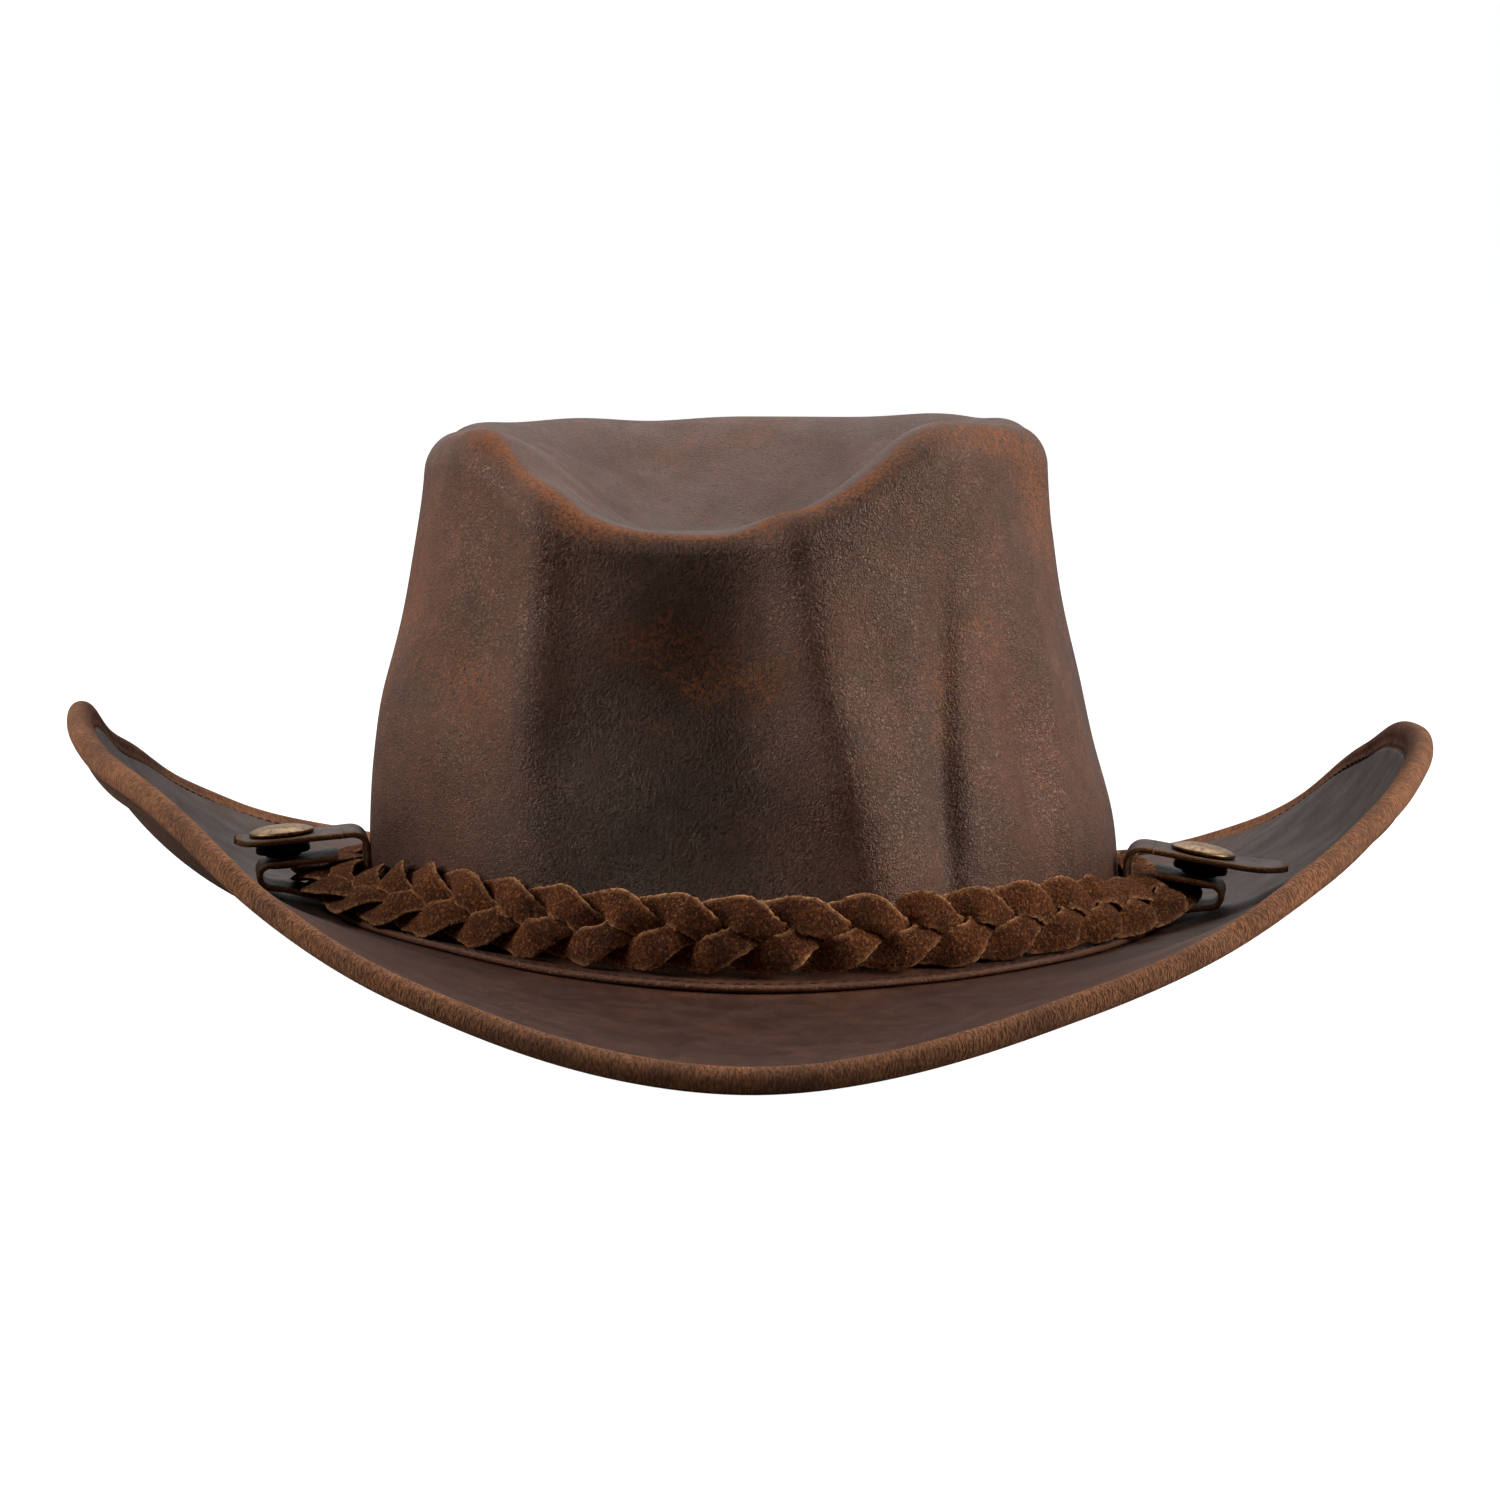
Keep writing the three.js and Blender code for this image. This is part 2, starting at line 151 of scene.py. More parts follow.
def grid_faces(rows, columns, rows_close, columns_close, skip=(), first=0):
    """Quads between neighbouring points of a grid whose rows follow one another in the list."""
    faces = []
    for i in range(rows if rows_close else rows - 1):
        a, b = i * columns, (i + 1) % rows * columns
        for j in range(columns if columns_close else columns - 1):
            if j not in skip:
                k = (j + 1) % columns
                faces.append((first + a + j, first + b + j, first + b + k, first + a + k))
    return faces


def outward(points, faces):
    """Turns every face round if the closed mesh is inside out."""
    points = np.asarray(points).reshape(-1, 3)
    volume = 0.0
    for face in faces:
        a = points[face[0]]
        for m in range(1, len(face) - 1):
            volume += a @ np.cross(points[face[m]], points[face[m + 1]])
    return faces if volume > 0 else [tuple(reversed(f)) for f in faces]


def loft(name, rings, closed, attributes=None):
    """Joins equal rings of points. A closed loft returns to its first ring, an open one is capped."""
    rings = np.asarray(rings)
    count, size = rings.shape[:2]
    faces = grid_faces(count, size, closed, True)
    if not closed:
        faces.append(tuple(range(size - 1, -1, -1)))
        faces.append(tuple(range((count - 1) * size, count * size)))
    return make_mesh(name, rings, outward(rings, faces), attributes)


def finish_piece(piece, material, node, body="hat"):
    """Gives a piece its material, and puts it in the place of a CAD node."""
    piece.data.materials.append(material)
    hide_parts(node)
    if body:
        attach(piece, body)


# ---- the shape of the brim ----
def off_head(phi, out, up):
    """A point `out` from the head oval along its normal, `up` above the crown's base."""
    s, c = np.sin(phi), np.cos(phi)
    length = np.hypot(HEAD["length"] * s, HEAD["width"] * c)
    return np.stack(np.broadcast_arrays(
        CENTRE + HEAD["width"] * s + out * HEAD["length"] * s / length,
        -HEAD["length"] * c - out * HEAD["width"] * c / length,
        STAND + up - SADDLE * c * c,
    ), -1)


def mean_slope(phi):
    """Catmull-Rom curve through the slope stations, in degrees."""
    slopes = np.array(BRIM_SLOPES)
    place = np.mod(phi / TAU, 1) * len(slopes)
    first = np.floor(place).astype(int)
    f = place - first
    a, b, c, d = (slopes[(first + k) % len(slopes)] for k in (-1, 0, 1, 2))
    return b + 0.5 * f * (c - a + f * (2 * a - 5 * b + 4 * c - d + f * (3 * (b - c) + d - a)))


def on_brim(phi, s, n):
    """A point of the brim: `s` outward along the leather from the crown, `n` above its middle."""
    curl = lerp(BRIM["curl_ends"], BRIM["curl_sides"], np.sin(phi) ** 2)
    start = np.radians(mean_slope(phi) - curl / 2)
    half = np.radians(curl) * s / BRIM["reach"] / 2
    chord = s * np.sinc(half / math.pi)
    end = start + 2 * half
    out = chord * np.cos(start + half) - n * np.sin(end)
    return off_head(phi, out, chord * np.sin(start + half) + n * np.cos(end))


def arc(s, n, radius, start, stop, steps):
    angles = np.radians(np.linspace(start, stop, steps))
    return np.stack([s + radius * np.cos(angles), n + radius * np.sin(angles)], -1)


def brim_section():
    """The leather runs out, rolls over the wire's tunnel and is turned back under as a hem."""
    reach, hem = BRIM["reach"], BRIM["hem"]
    face = LEATHER / 2
    middle = -(face + GAP / 2)
    flat = np.linspace(0, reach - 8, 40)
    near_rim = np.linspace(reach - 7, reach - 2.6, 16)
    s = np.concatenate([[BRIM["inner"]], flat, near_rim])
    groove = 0.4 * bell((s - reach + SEAM["hem"]) / 0.55)
    top = np.stack([s, face - groove], -1)
    under = np.stack([np.linspace(reach - 2.4, reach - hem + 0.3, 8), np.full(8, middle * 2 - face)], -1)
    return np.concatenate([
        top,
        arc(reach, middle, BRIM["bead"], 128, -128, 26),
        under,
        [[reach - hem, middle * 2 - face + 0.3], [reach - hem, -face - GAP]],
        arc(reach, middle, TUNNEL, -174, 174, 14),
        np.stack([s, np.full_like(s, -face)], -1)[::-1],
    ])


def brim():
    section = brim_section()
    phi = np.arange(STATIONS) * TAU / STATIONS
    s, n = section[:, 0], section[:, 1]
    points = on_brim(phi[:, None], s[None], n[None])
    waves = smooth((s - 14) / 30) * smooth(np.abs(np.sin(phi[:, None])) * 1.6) * 0.6
    points[..., 2] = np.maximum(points[..., 2] + lumps(points, 60, 3) * waves, 0.05)
    rim = smooth((s - BRIM["reach"] + SEAM["hem"] + 0.8) / 1.2) * np.ones_like(points[..., 0])
    under = (n < -0.5) * (s < BRIM["reach"] - 2) * np.ones_like(rim)
    foot = bell((s - FLANGE["width"] - 1.5) / 3.5) * (n > 0) * np.ones_like(rim)
    round_rim = np.stack([np.cos(phi), np.sin(phi)], -1)[:, None] * RIM_RADIUS * np.ones_like(points[..., :1])
    lengths = np.append(0, np.cumsum(np.hypot(np.diff(s), np.diff(n)))) * np.ones_like(rim)
    piece = loft("brim_leather", points, True, {
        "rim": rim, "under": under, "foot": foot, "across": lengths,
        "round_x": round_rim[..., 0], "round_y": round_rim[..., 1],
    })
    finish_piece(piece, brim_leather(), "brim")


# ---- the shape of the crown ----
def dip_share(phi):
    """From 0 outside the dip at the front of the crest to 1 in its middle."""
    turned = turn_between(phi, math.radians(CREST["dip_turn"]))
    away = np.minimum(1, np.abs(turned) / math.radians(CREST["dip_half"]))
    return np.cos(away ** 1.4 * math.pi / 2) ** 2


def crown_form(phi, level):
    """Level 0 is the foot of the wall, 1 the crest and 2 the middle of the dished top."""
    phi, level = np.broadcast_arrays(phi, level)
    dip = dip_share(phi)
    lift = CREST["front_lift"] * np.cos(phi) + CREST["side_lift"] * np.sin(phi)
    lift = lift - SAG["depth"] * bell((np.abs(turn_between(phi, 0)) - SAG["turn"]) / SAG["half"])
    crest = CREST["height"] + lift - CREST["dip"] * dip
    drop = SHOULDER["drop"] * lerp(1, SHOULDER["in_dip"], dip)
    rise = np.clip(level / SHOULDER["start"], 0, 1)
    turn = np.clip((level - SHOULDER["start"]) / (1 - SHOULDER["start"]), 0, 1) * math.pi / 2
    wall = (crest - drop) * rise + drop * np.sin(turn)
    inward = np.maximum(0, level - 1)
    keep = 1 - inward
    fall = (crest - DISH["floor"]) * smooth(inward / DISH["reach"])
    taper = smooth((wall / crest - 0.08) / 0.9)
    inset = SHOULDER["inset"] * lerp(1, SHOULDER["in_dip"], dip) * (1 - np.cos(turn))
    power = lerp(2, lerp(TOP["square"], TOP["front_square"], smooth(0.5 + np.cos(phi))), taper)
    s, c = np.sin(phi), np.cos(phi)
    bulge = (np.abs(s) ** power + np.abs(c) ** power) ** (-1 / power)
    width = lerp(HEAD["width"], TOP["width"], taper) - inset
    length = lerp(HEAD["length"], TOP["length"], taper) - inset
    turned = turn_between(phi, math.radians(PINCH["turn"])) / math.radians(PINCH["half"])
    front = np.cos(np.clip(np.abs(turned), 0, 1) * math.pi / 2) ** 2
    pinch = PINCH["depth"] * front * np.sin(math.pi * np.clip(wall / PINCH["height"], 0, 1)) ** 0.7 * keep
    return np.stack([
        CENTRE + width * s * bulge * keep + TOP["lean"] * smooth(wall / TOP["lean_by"]),
        -length * c * bulge * keep + pinch,
        STAND + wall - fall - SADDLE * c * c * np.maximum(0, 1 - level),
    ], -1)


# Folds that the leather keeps from its moulding: turn of the middle in degrees, how the turn drifts
# with level, level of the middle, half widths before and after it in degrees, half height in
# levels, and height outward in millimetres.
FOLDS = [
    (-35, -8, 0.60, 6, 5, 0.50, 2.6), (1, -10, 0.50, 12, 7, 0.50, -3.0), (15, -14, 0.55, 5, 7, 0.55, 4.4),
    (34, 14, 0.30, 4, 2.2, 0.30, -2.8), (41, 6, 0.30, 6, 6, 0.32, 1.0), (52, 0, 0.28, 4, 5, 0.30, -1.5),
    (61, 12, 0.34, 2.6, 2.6, 0.28, 0.9), (40, 60, 0.64, 6, 6, 0.12, -1.0), (-57, 0, 0.20, 8, 8, 0.22, -1.2),
    (-70, 0, 0.45, 7, 7, 0.28, 1.0), (82, 0, 0.40, 8, 8, 0.30, -1.0), (120, 0, 0.35, 10, 8, 0.30, -1.3),
    (146, 10, 0.50, 9, 9, 0.35, 1.0), (-112, 0, 0.40, 9, 11, 0.30, -1.3), (-150, -10, 0.45, 9, 9, 0.35, -1.2),
]


def crown_relief(phi, level):
    relief = 0
    for turn, drift, middle, before, after, half_level, height in FOLDS:
        away = turn_between(phi, np.radians(turn + drift * (level - middle)))
        away = away / np.radians(np.where(away < 0, before, after))
        relief = relief + height * bell(away) * bell((level - middle) / half_level)
    return relief * smooth(level / 0.06) * (level < 1.5)


def on_crown(phi, level, depth=0):
    """A point of the moulded crown, `depth` under its outer face."""
    phi, level = np.broadcast_arrays(phi, level)
    step = 1e-3
    round_head = crown_form(phi + step, level) - crown_form(phi - step, level)
    up = crown_form(phi, level + step) - crown_form(phi, level - step)
    normal = np.cross(round_head, up)
    normal /= np.linalg.norm(normal, axis=-1, keepdims=True)
    points = crown_form(phi, level)
    soft = 0.5 * lumps(points, 34, 7) * smooth(level / 0.12)
    return points + normal * (crown_relief(phi, level) + soft - depth)[..., None]


def crown():
    phi = (np.arange(STATIONS) * TAU / STATIONS)[:, None]
    low = LEATHER / 2 + GAP
    high = low + FLANGE["thick"]
    edge = FLANGE["width"]
    wall = np.linspace(0.05, 0.8, 60)
    shoulder = np.linspace(0.81, 1.12, 40)
    dish = np.linspace(1.14, 1.97, 44)
    outside = np.concatenate([wall, shoulder, dish])
    inside = outside[::-1][::2]
    flange = np.array([
        [edge, low], [edge + 0.25, low + 0.5], [edge + 0.2, high - 0.3], [edge - 0.2, high],
        [edge - 1.4, high], [edge - SEAM["flange"], high - 0.25], [edge - 3, high], [6, high],
        [4.4, high], [3, high + 0.05], [1.8, high + 0.3], [0.9, high + 0.9], [0.35, high + 1.8],
    ])
    foot = np.array([[BRIM["inner"], high + 1.5], [BRIM["inner"], low], [4, low]])
    parts = [
        on_brim(phi, flange[None, :, 0], flange[None, :, 1]),
        on_crown(phi, outside[None]),
        on_crown(phi, inside[None], LEATHER),
        on_brim(phi, foot[None, :, 0], foot[None, :, 1]),
    ]
    points = np.concatenate(parts, 1)
    rows, columns = points.shape[:2]
    last_outer = len(flange) + len(outside) - 1
    faces = grid_faces(rows, columns, True, True, skip=(last_outer,))
    outer_pole = rows * columns
    for i in range(rows):
        a, b = i * columns + last_outer, (i + 1) % rows * columns + last_outer
        faces.append((a, b, outer_pole))
        faces.append((b + 1, a + 1, outer_pole + 1))
    poles = [on_crown(0.0, 1.999), on_crown(0.0, 1.999, LEATHER)]
    every = np.concatenate([points.reshape(-1, 3), poles])
    level = np.concatenate([np.full(len(flange), -1), outside, inside, np.full(len(foot), -1)])
    inner = np.concatenate([np.zeros(last_outer + 1), np.ones(columns - last_outer - 1)])
    wear = np.maximum(painted(RUBBED, phi, level[None]), 0.2 * bell((level - 0.99) / 0.03)) * (1 - inner)
    # Painted shade: mask of the hollow between the folds, which the crown's colour darkens.
    hollow_shade = painted(SHADED_HOLLOWS, phi, level[None]) * (1 - inner)
    cut_edge = 5
    raw = np.concatenate([np.ones(cut_edge), np.zeros(columns - cut_edge)]) * np.ones_like(phi)
    attributes = {
        "wear": np.append(wear, [0, 0]),
        "hollow_shade": np.append(hollow_shade, [0, 0]),
        "inner": np.append(inner * np.ones_like(phi), [0, 1]),
        "raw": np.append(raw, [0, 0]),
    }
    piece = make_mesh("crown_leather", every, outward(every, faces), attributes)
    finish_piece(piece, crown_leather(), "crown")


# Places rubbed down to the tan of the hide: turn, level, half widths and strength.
RUBBED = [
    (-9, 1.0, 42, 0.03, 1.0), (-9, 0.95, 30, 0.06, 0.4), (-30, 0.97, 9, 0.06, 0.45),
    (25, 0.96, 12, 0.05, 0.55), (54, 0.93, 12, 0.07, 0.6), (70, 0.80, 10, 0.16, 0.5),
    (-58, 0.97, 14, 0.05, 0.6), (-74, 0.62, 14, 0.22, 0.4), (-48, 0.50, 12, 0.12, 0.4),
    (-13, 0.67, 13, 0.08, 0.45), (4, 0.60, 10, 0.07, 0.35), (40, 0.55, 16, 0.16, 0.28),
]


# Painted shade: the hollow between the folds is painted darker than the rest of the leather. The numbers mean
# the same.
SHADED_HOLLOWS = [
    (-15, 0.36, 19, 0.42, 0.95), (-50, 0.10, 36, 0.22, 0.45), (4, 0.40, 12, 0.30, 0.3),
    (34, 0.25, 4, 0.25, 0.4),
]


def painted(places, phi, level):
    """How strongly the listed places cover the leather, 0 to 1."""
    cover = np.zeros(np.broadcast(phi, level).shape)
    for turn, middle, half_turn, half_level, strength in places:
        away = turn_between(phi, math.radians(turn)) / math.radians(half_turn)
        cover += strength * bell(away) * bell((level - middle) / half_level)
    return np.clip(cover, 0, 1)


def sweatband():
    phi = (np.arange(STATIONS // 2) * 2 * TAU / STATIONS)[:, None]
    rise = np.linspace(0.02, SWEATBAND["top"], 14)[None]
    near = LEATHER + SWEATBAND["clear"]
    wave = 0.35 * np.sin(9 * phi) * smooth((rise - 0.18) / 0.1)
    outer = on_crown(phi, rise, near + wave)
    inner = on_crown(phi, rise[:, ::-1], near + SWEATBAND["thick"] + wave[:, ::-1])
    lip = on_crown(phi, np.array([[0.0]]), near + SWEATBAND["thick"] / 2)
    piece = loft("sweatband_leather", np.concatenate([outer, inner, lip], 1), True)
    finish_piece(piece, lining_leather(), "sweatband")


# ---- stitching ----
def stitch_row(name, node, s, height):
    """A row of stitches along the brim, each a short thread that dips into the leather at both ends."""
    fine = np.linspace(0, TAU, 4001)
    run = on_brim(fine, s, height)
    lengths = np.concatenate([[0], np.cumsum(np.linalg.norm(np.diff(run, axis=0), axis=1))])
    count = round(lengths[-1] / STITCH["pitch"])
    sides, rings = 6, 7
    points, faces = [], []
    ring = np.arange(sides) * TAU / sides
    for i in range(count):
        along = np.linspace(i + STITCH["gap"], i + 1 - STITCH["gap"], rings) * lengths[-1] / count
        phi = np.interp(along, lengths, fine)
        bow = np.sin(np.linspace(0, math.pi, rings))
        radius = STITCH["thin"] + STITCH["swell"] * bow ** 0.5
        thread = on_brim(
            phi[:, None],
            s + radius[:, None] * np.cos(ring)[None],
            height - STITCH["sunk"] + STITCH["bow"] * bow[:, None] ** 0.6
            + radius[:, None] * np.sin(ring)[None],
        )
        first = len(points) * rings * sides
        points.append(thread.reshape(-1, 3))
        faces += grid_faces(rings, sides, False, True, first=first)
        faces.append(tuple(first + j for j in reversed(range(sides))))
        faces.append(tuple(first + (rings - 1) * sides + j for j in range(sides)))
    every = np.concatenate(points)
    piece = make_mesh(name, every, outward(every, faces))
    finish_piece(piece, MATERIALS["thread"], node)


# ---- the plaited band ----
def on_band(phi, across, over):
    """A point of the band's section: `across` up its width and `over` outward through it.
    The band leans on the crown's wall; at the sides it lies down to pass through the keepers."""
    side = np.abs(np.sin(phi))
    back = np.maximum(0, -np.cos(phi)) ** 12
    tilt = np.radians(lerp(BAND["tilt_ends"], BAND["tilt_sides"], side ** 6))
    clear = BAND["clear"] + 1.3 * (WRAP["thick"] + WRAP["clear"]) * back
    lift = (STRAP["thick"] + 2 * GAP) * smooth((side - 0.93) / 0.04)
    reach_out = np.hypot(BAND["half_width"] * np.sin(tilt), BAND["half_thick"] * np.cos(tilt))
    reach_up = np.hypot(BAND["half_width"] * np.cos(tilt), BAND["half_thick"] * np.sin(tilt))
    flange = LEATHER / 2 + GAP + FLANGE["thick"]
    brim_rise = on_brim(phi, 2 * reach_out + clear, flange)[..., 2] - off_head(phi, 0, 0)[..., 2]
    under = np.maximum(flange, brim_rise)
    return off_head(
        phi,
        clear + lift * 0.9 + reach_out - across * np.sin(tilt) + over * np.cos(tilt),
        under + clear / 2 + lift + reach_up + across * np.cos(tilt) + over * np.sin(tilt),
    )


RIBBON = [-1, -0.97, -0.9, -0.7, -0.4, 0, 0.4, 0.7, 0.9, 0.97, 1]


def ribbon_section():
    """Outline of a suede strip: across from -1 to 1, and height as a share of its thickness."""
    w = np.array(RIBBON)
    top = np.stack([w, 0.5 - 0.42 * np.abs(w) ** 10], -1)
    return np.concatenate([top, np.stack([w, -0.5 + 0.42 * np.abs(w) ** 10], -1)[-2:0:-1]])


def fibres(roots, ways, lengths, radius):
    """Short closed hairs with three sides, one from each root."""
    ways = ways / np.linalg.norm(ways, axis=1, keepdims=True)
    side = np.cross(ways, [0.31, 0.52, 0.79])
    side /= np.linalg.norm(side, axis=1, keepdims=True)
    other = np.cross(ways, side)
    buried = 0.2
    corners = []
    for angle in (0, TAU / 3, 2 * TAU / 3):
        aside = math.cos(angle) * side + math.sin(angle) * other
        corners.append(roots - buried * ways + radius * aside)
    points = np.stack(corners + [roots + ways * lengths[:, None]], 1).reshape(-1, 3)
    faces = []
    for first in range(0, len(points), 4):
        a, b, c, tip = range(first, first + 4)
        faces += [(a, b, tip), (b, c, tip), (c, a, tip), (c, b, a)]
    return points, faces


def plait_strand(letter, phase, seed):
    """Swings from edge to edge and lies on top of the next strand as it turns inward. Its edges are
    ragged, with a slow wander and a fine one, and carry short hairs."""
    rng = np.random.default_rng(seed)
    turns = PLAIT["turns"]
    count = turns * RINGS_PER_TURN
    t = np.linspace(TAU / 12, TAU * turns - TAU / 12, count)[:, None]
    phi = math.pi + t / turns
    speed = np.linalg.norm(on_band(phi + 0.01, 0, 0) - on_band(phi - 0.01, 0, 0), axis=-1) / 0.02
    across = PLAIT["swing"] * np.sin(t + phase)
    over = -PLAIT["rise"] * np.sin(2 * (t + phase))
    lean = np.arctan2(PLAIT["swing"] * np.cos(t + phase) * turns, speed)
    section = ribbon_section()
    w, h = section[None, :, 0], section[None, :, 1]
    width = PLAIT["width"] * (1 - PLAIT["pinch"] * np.cos(4 * (t + phase) + math.pi / 3))
    edge = np.abs(w) ** 3
    slow = np.repeat(rng.normal(0, 0.22, (count // 7 + 1, 2)), 7, 0)[:count]
    for _ in range(3):
        slow[1:-1] = (slow[:-2] + 2 * slow[1:-1] + slow[2:]) / 4
    ragged = slow + rng.normal(0, 0.11, (count, 2))
    half = width / 2 * w + np.where(w < 0, -ragged[:, :1], ragged[:, 1:]) * edge
    crowned = 0.3 * (1 - w * w) + rng.normal(0, 0.05, (count, len(section))) + 0.3 * edge * ragged[:, :1]
    curl = 0.3 * np.sin(3 * (t + phase) + seed) * w
    points = on_band(
        phi - half * np.sin(lean) / speed,
        across + half * np.cos(lean),
        over + PLAIT["thick"] * h + crowned - 0.15 + curl,
    )
    near_edge = smooth((np.abs(w) - 0.86) / 0.1) * np.ones_like(half)
    roots, ways = [], []
    for tip, within in ((len(RIBBON) - 1, len(RIBBON) - 3), (0, 2)):
        chosen = rng.random(count) < HAIR["share"]
        scatter = rng.normal(0, HAIR["scatter"], (chosen.sum(), 3))
        roots.append(points[chosen, tip])
        ways.append(points[chosen, tip] - points[chosen, within] + scatter)
    roots = np.concatenate(roots)
    lengths = HAIR["least"] + rng.exponential(HAIR["more"], len(roots))
    hairs, hair_faces = fibres(roots, np.concatenate(ways), lengths, HAIR["radius"])
    rings = points.reshape(-1, 3)
    faces = grid_faces(count, len(section), False, True)
    faces.append(tuple(range(len(section) - 1, -1, -1)))
    faces.append(tuple(range(len(rings) - len(section), len(rings))))
    faces = outward(rings, faces) + [tuple(len(rings) + k for k in face) for face in hair_faces]
    edges = np.append(near_edge, np.ones(len(hairs)))
    piece = make_mesh(f"plait_strand_{letter}_suede", np.concatenate([rings, hairs]), faces, {"edge": edges})
    finish_piece(piece, suede(f"suede_{letter}", phase), f"plait_strand_{letter}")


def plait_wrap():
    """A short suede sleeve at the back hides the joined ends of the plait."""
    inner = np.array([BAND["half_width"] + WRAP["clear"], BAND["half_thick"] + WRAP["clear"]])
    angles = np.arange(56) * TAU / 56
    corner = np.stack([np.cos(angles), np.sin(angles)], -1)
    corner = np.sign(corner) * np.abs(corner) ** 0.4
    rings = []
    stations = np.linspace(-1, 1, 13) * WRAP["half"] / HEAD["width"] + math.pi
    for grow, phis in ((WRAP["thick"], stations), (0, stations[::-1])):
        for phi in phis:
            size = inner + grow
            rings.append(on_band(phi, corner[:, 0] * size[0], corner[:, 1] * size[1]))
    rings = np.array(rings)
    edge = np.zeros(rings.shape[:2])
    edge[[0, 12, 13, 25]] = 1
    piece = loft("plait_wrap_suede", rings, True, {"edge": edge})
    finish_piece(piece, suede("suede_wrap", 2.0), "plait_wrap")


# ---- the keeper straps ----
class Keeper:
    """One strap in its own frame: x outward from the crown, y along the brim, z up."""

    def __init__(self, side):
        self.side = side
        self.spec = KEEPERS[side]
        phi = math.radians(self.spec["turn"])
        self.foot = off_head(phi, 0, 0)
        out = off_head(phi, 1, 0) - self.foot
        out[2] = 0
        self.out = out / np.linalg.norm(out)
        self.aside = np.array([-self.out[1], self.out[0], 0])

    def place(self, x, y, z):
        x, y, z = (np.asarray(v, float)[..., None] for v in (x, y, z))
        return self.foot + x * self.out + y * self.aside + z * np.array([0, 0, 1.0])

    def on_strap(self, along, rise):
        """`along` the strap's middle layer from the crown, and `rise` above it."""
        tilt = math.radians(self.spec["tilt"])
        c, s = math.cos(tilt), math.sin(tilt)
        return np.array([along * c - rise * s, SNAP["height"] + along * s + rise * c])

    def loop_line(self):
        """From the fold by the crown, down behind the plait, out under it and back over it."""
        top = self.on_strap(6.6, SNAP["flap_rise"])
        turn_at = self.spec["out"] + FOLD["room"]
        fold = self.on_strap(turn_at, -FOLD["radius"])
        end = 80 + self.spec["tilt"]
        return np.concatenate([
            [top],
            arc(4.5, top[1] - 2.9, 3.3, 90, 180, 12),
            [[1.2, 6.6]],
            arc(3.5, 6, 2.3, 190, 265, 9),
            [[12, 4.2], [fold[0] - 3.5, fold[1] - FOLD["radius"] - 0.2]],
            arc(fold[0], fold[1], FOLD["radius"], -80, end, 16),
            [self.on_strap(8, 0)],
        ])

    def flap_line(self):
        out, tip, rise = self.spec["out"], self.spec["tip"], SNAP["flap_rise"]
        return np.array([
            self.on_strap(6.6, rise), self.on_strap(8.5, rise), self.on_strap(out, rise),
            self.on_strap(out + 8.5, rise),
            self.on_strap(out + lerp(8.5, tip, 0.4), rise + tip * 0.01),
            self.on_strap(out + tip, rise + tip * 0.06),
        ])


def resampled(line, step):
    """The same line with points `step` apart."""
    lengths = np.concatenate([[0], np.cumsum(np.linalg.norm(np.diff(line, axis=0), axis=1))])
    places = np.linspace(0, lengths[-1], max(2, round(lengths[-1] / step)))
    return np.stack([np.interp(places, lengths, line[:, k]) for k in (0, 1)], -1)


def eased(line, rounds=6):
    for _ in range(rounds):
        line[1:-1] = (line[:-2] + 2 * line[1:-1] + line[2:]) / 4
    return line


def strap(name, keeper, line, round_tip):
    """A strap with softened raw edges that follows a line of points."""
    line = eased(resampled(line, 0.6))
    slope = np.gradient(line, axis=0)
    slope /= np.linalg.norm(slope, axis=1, keepdims=True)
    normal = np.stack([-slope[:, 1], slope[:, 0]], -1)
    half = np.full(len(line), STRAP["width"] / 2)
    if round_tip:
        left = np.linalg.norm(line - line[-1], axis=1)
        radius = 7.0
        near = np.clip(1 - left / radius, 0, 0.995)
        half *= 0.25 + 0.75 * np.sqrt(1 - near * near)
    across = np.array([-1, -0.995, -0.97, -0.9, -0.5, 0, 0.5, 0.9, 0.97, 0.995, 1])
    lift = np.array([0.0, 0.32, 0.47, 0.5, 0.5, 0.5, 0.5, 0.5, 0.47, 0.32, 0.0])
    w = np.concatenate([across, across[-2:0:-1]])
    h = np.concatenate([lift, -lift[-2:0:-1]])
    edge = smooth((np.abs(w) - 0.94) / 0.04) * np.ones((len(line), 1))
    if round_tip:
        edge[-3:] = 1
    y = half[:, None] * w
    thick = STRAP["thick"] * h
    x = line[:, :1] + normal[:, :1] * thick
    z = line[:, 1:] + normal[:, 1:] * thick
    return loft(name, keeper.place(x, y, z), False, {"edge": edge})


# Turned metal pieces as [radius, height above the strap's middle layer].
SNAP_PARTS = {
    "post": [[0, -1.8], [2.5, -1.8], [4.3, -1.6], [4.6, -1.3], [4.4, -0.9], [1.1, -0.9],
             [1.1, 1.6], [0, 1.6]],
    "stud": [[0, 2.3], [1.3, 2.3], [1.3, 0.9], [4, 0.9], [4.2, 1.2], [4, 1.5], [2.2, 1.5],
             [1.8, 1.7], [1.9, 2.3], [1.8, 2.6], [1.4, 2.8], [0, 2.8]],
    "socket": [[2.6, 1.7], [5.8, 1.7], [6.2, 1.85], [6.35, 2.2], [6.35, 3.1], [6.1, 3.3],
               [6.3, 3.5], [6.3, 4], [6, 4.3], [1.4, 4.3], [1.4, 3], [2.6, 3]],
    "cap": [[0, 3.7], [1.1, 3.7], [1.1, 6.1], [7.2, 6.05], [7.5, 6.2], [7.62, 6.5], [7.5, 6.85], [7.1, 7.1],
            [6.2, 7.45], [4.6, 7.85], [2.4, 8.12], [0.8, 8.2], [0, 8.2]],
}


